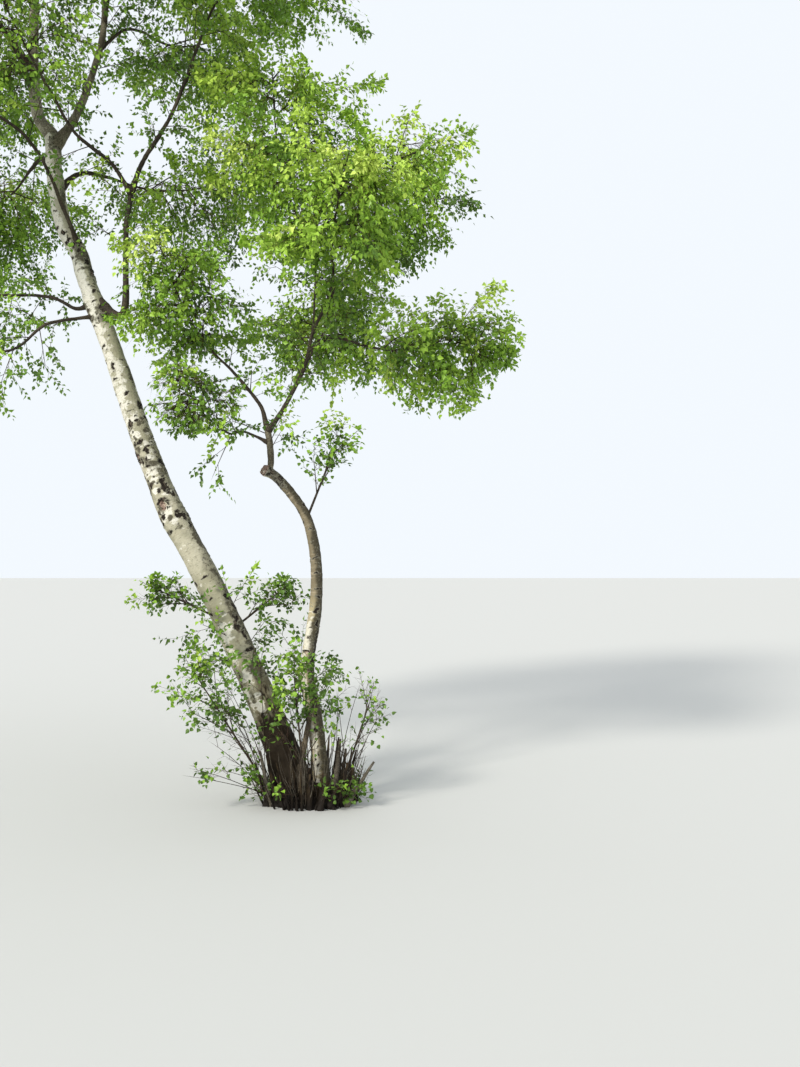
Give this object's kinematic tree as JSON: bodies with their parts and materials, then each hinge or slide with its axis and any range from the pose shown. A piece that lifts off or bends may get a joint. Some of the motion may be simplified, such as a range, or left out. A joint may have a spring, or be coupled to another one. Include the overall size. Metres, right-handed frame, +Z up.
{
  "type": "birch tree",
  "caption": "Leaning birch with white bark: a main trunk and a thinner second stem rise from one low stool, forking into boughs and an airy crown of spring leaves.",
  "frame": {"origin": "middle of the main trunk's flat cut at ground level", "axes": "+Z up, +X to the right and +Y away as the tree is seen from its front, where the trunk leans to -X"},
  "size_m": [5.1631, 3.2174, 7.9679],
  "materials": {
    "white_bark": "peeling white bark",
    "bough_bark": "smooth dark bark",
    "stool_bark": "rough dead bark",
    "leaves": "fresh green leaves"
  },
  "bodies": {
    "root": {"foot_left_foliage": "leaves", "foot_middle_foliage": "leaves", "foot_right_foliage": "leaves", "front_bough": "bough_bark", "front_left_foliage": "leaves", "high_arch_bough": "bough_bark", "high_arch_foliage": "leaves", "inner_front_foliage": "leaves", "left_back_bough": "bough_bark", "left_back_foliage": "leaves", "left_bough": "bough_bark", "left_foliage": "leaves", "left_front_bough": "bough_bark", "left_front_foliage": "leaves", "left_leader": "bough_bark", "low_arch_bough": "bough_bark", "low_arch_foliage": "leaves", "low_back_left_bough": "bough_bark", "low_back_left_foliage": "leaves", "low_back_right_bough": "bough_bark", "low_back_right_foliage": "leaves", "main_trunk": "white_bark", "right_back_bough": "bough_bark", "right_back_foliage": "leaves", "right_bough": "bough_bark", "right_bough_left_arm": "bough_bark", "right_bough_right_arm": "bough_bark", "right_foliage": "leaves", "right_front_bough": "bough_bark", "right_front_foliage": "leaves", "right_leader": "bough_bark", "root_stool": "stool_bark", "second_back_bough": "bough_bark", "second_back_foliage": "leaves", "second_front_bough": "bough_bark", "second_front_foliage": "leaves", "second_leader": "bough_bark", "second_left_bough": "bough_bark", "second_left_foliage": "leaves", "second_low_left_bough": "bough_bark", "second_low_left_foliage": "leaves", "second_low_right_bough": "bough_bark", "second_low_right_foliage": "leaves", "second_right_bough": "bough_bark", "second_right_foliage": "leaves", "second_shoot_foliage": "leaves", "second_stem": "white_bark", "second_top_bough": "bough_bark", "second_top_foliage": "leaves", "small_snag": "stool_bark", "top_foliage": "leaves", "trunk_left_foliage": "leaves", "trunk_right_foliage": "leaves", "upper_back_bough": "bough_bark", "upper_back_foliage": "leaves", "upper_front_bough": "bough_bark", "upper_front_foliage": "leaves", "upper_left_bough": "bough_bark", "upper_left_foliage": "leaves", "upper_right_foliage": "leaves"}
  },
  "joints": []
}
